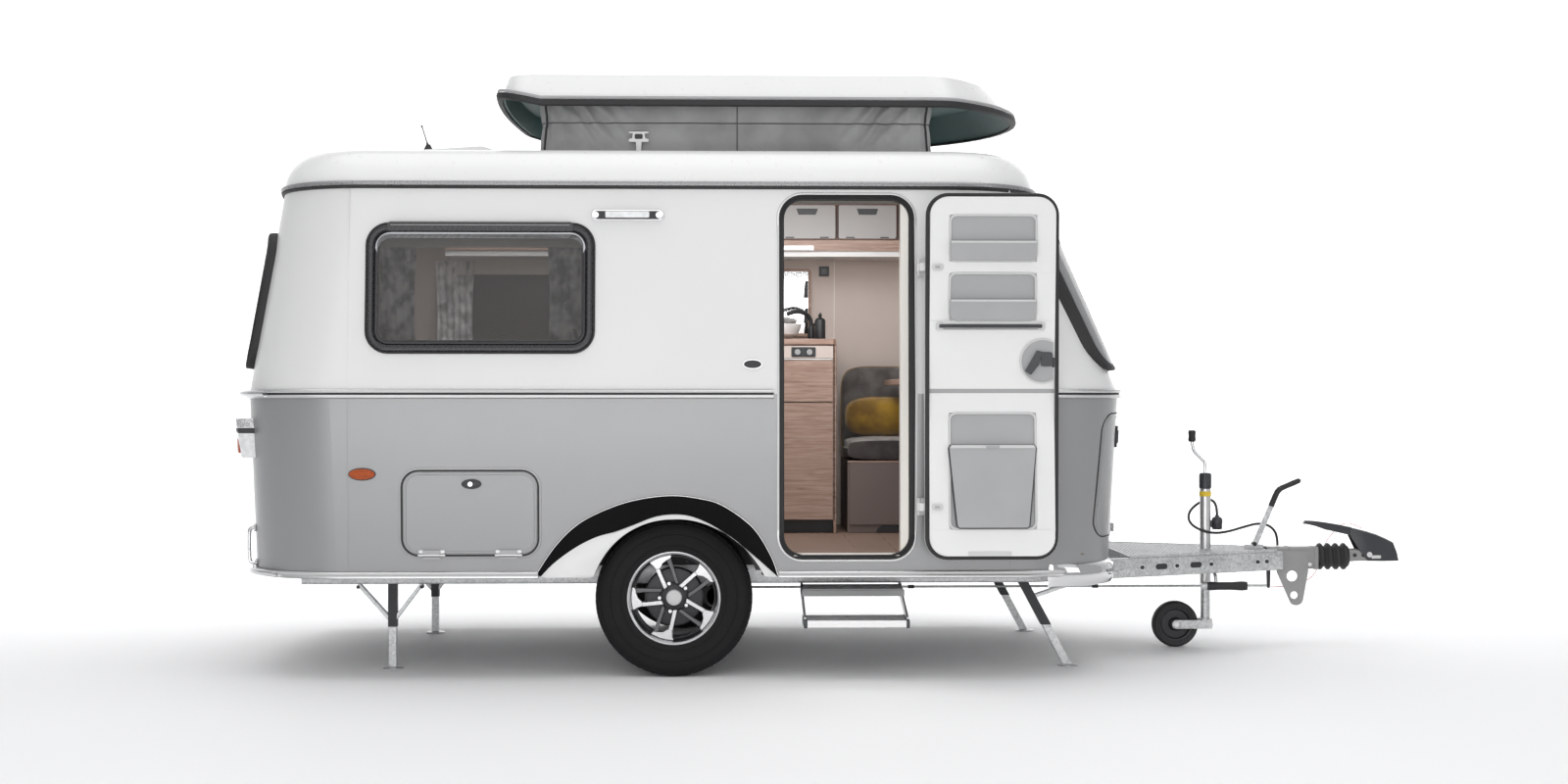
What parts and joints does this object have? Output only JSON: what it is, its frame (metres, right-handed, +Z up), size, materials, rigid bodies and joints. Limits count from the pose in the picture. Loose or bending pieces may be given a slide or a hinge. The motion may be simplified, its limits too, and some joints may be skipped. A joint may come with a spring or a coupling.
{
  "type": "touring caravan",
  "caption": "Small touring caravan with a raised pop-top roof, entry door open, on road wheels, jockey wheel and corner steadies, with an A-frame drawbar and ball coupling.",
  "frame": {"origin": "centre of the coupling ball; the ground is 0.392 m below it", "axes": "+X forward towards the towing vehicle, +Y to the left side, +Z up; the centre plane is Y = 0 and the door is on the -Y side"},
  "size_m": [4.9221, 2.1549, 2.386],
  "materials": {
    "body_white": "smooth white enamel, low gloss",
    "body_silver": "silver metallic enamel",
    "roof_white": "glossy white moulded shell",
    "trim_alu": "anodised, satin",
    "galvanised": "hot-dip galvanised, mottled",
    "rubber": "matt black",
    "tyre": "matt black rubber",
    "rim": "machined faces over dark grey pockets",
    "dark_plastic": "fine grained",
    "grey_plastic": "light grey moulded",
    "glass": "tinted acrylic",
    "lamp": "clear and coloured lenses",
    "amber": "amber lens",
    "chrome": "bright plated",
    "wood": "rosy brown grained laminate",
    "floor_wood": "brown plank pattern",
    "fabric_grey": "woven upholstery",
    "fabric_mustard": "woven cover",
    "canvas": "light grey tent cloth",
    "casting": "cast, zinc plated",
    "safety_red": "red sheathed wire"
  },
  "bodies": {
    "trailer": {"aerial": "dark_plastic", "axle_beam": "galvanised", "bed_mattress": "fabric_grey", "bench_cushions": "fabric_grey", "body_rails": "trim_alu", "brake_rod": "galvanised", "breakaway_cable": "safety_red", "chassis_frame": "galvanised", "connecting_lead": "rubber", "corner_steadies": "galvanised", "coupling_head": "casting", "coupling_lever": "dark_plastic", "curtains": "fabric_grey", "dinette_table": "wood", "door_frame": "trim_alu", "drawbar_deck": "galvanised", "entry_step": "trim_alu", "floor_board": "floor_wood", "grab_handles": "chrome", "handbrake_lever": "galvanised", "jockey_tube": "galvanised", "kitchen_cabinet": "wood", "kitchen_worktop": "wood", "lead_plug": "dark_plastic", "lower_nose": "body_silver", "lower_rear": "body_silver", "lower_side_left": "body_silver", "lower_side_right": "body_silver", "overrun_boot": "rubber", "overrun_housing": "galvanised", "pop_top_fabric": "canvas", "porch_lamp": "chrome", "roof_latches": "grey_plastic", "roof_shell": "roof_white", "seat_boxes": "wood", "side_markers": "amber", "tail_lamps": "lamp", "throw_pillow": "fabric_mustard", "upper_nose": "body_white", "upper_rear": "body_white", "upper_side_left": "body_white", "upper_side_right": "body_white", "wall_lockers": "wood", "wheel_arch_panels": "body_white", "wheel_housings": "dark_plastic", "window_frames": "rubber", "window_panes": "glass"},
    "wheel_right": {"tyre_right": "tyre", "rim_right": "rim"},
    "wheel_left": {"tyre_left": "tyre", "rim_left": "rim"},
    "jockey_fork": {"jockey_leg": "galvanised"},
    "jockey_roller": {"jockey_wheel": "rubber"},
    "entry_door": {"door_leaf": "body_white", "door_inner_panel": "grey_plastic"},
    "pop_top": {"pop_top_lid": "roof_white"},
    "hatch": {"service_hatch": "body_silver"},
    "gas_locker": {"gas_locker_lid": "body_silver"}
  },
  "joints": [
    {"name": "wheel_right_spin", "type": "hinge", "parent": "trailer", "child": "wheel_right", "pos_m": [-3.064, -0.812, -0.085], "axis": [0, 1, 0], "continuous": true},
    {"name": "wheel_left_spin", "type": "hinge", "parent": "trailer", "child": "wheel_left", "pos_m": [-3.064, 0.812, -0.085], "axis": [0, 1, 0], "continuous": true},
    {"name": "jockey_swivel", "type": "hinge", "parent": "trailer", "child": "jockey_fork", "pos_m": [-0.77, 0, -0.274], "axis": [0, 0, 1], "continuous": true},
    {"name": "jockey_spin", "type": "hinge", "parent": "jockey_fork", "child": "jockey_roller", "pos_m": [-0.904, 0, -0.292], "axis": [0, 1, 0], "continuous": true},
    {"name": "entry_door_hinge", "type": "hinge", "parent": "trailer", "child": "entry_door", "pos_m": [-2.12, -1.014, 0.776], "axis": [0, 0, -1], "range_deg": [0, 180]},
    {"name": "pop_top_lift", "type": "slide", "parent": "trailer", "child": "pop_top", "axis": [0, 0, -1], "range_m": [0, 0.19], "deforming": ["pop_top_fabric"]},
    {"name": "service_hatch_hinge", "type": "hinge", "parent": "trailer", "child": "hatch", "pos_m": [-3.843, -0.9764, 0.09], "axis": [1, 0, 0], "range_deg": [0, 90]},
    {"name": "gas_locker_hinge", "type": "hinge", "parent": "trailer", "child": "gas_locker", "pos_m": [-1.23, 0, 0.144], "axis": [0, 1, 0], "range_deg": [0, 55]}
  ]
}
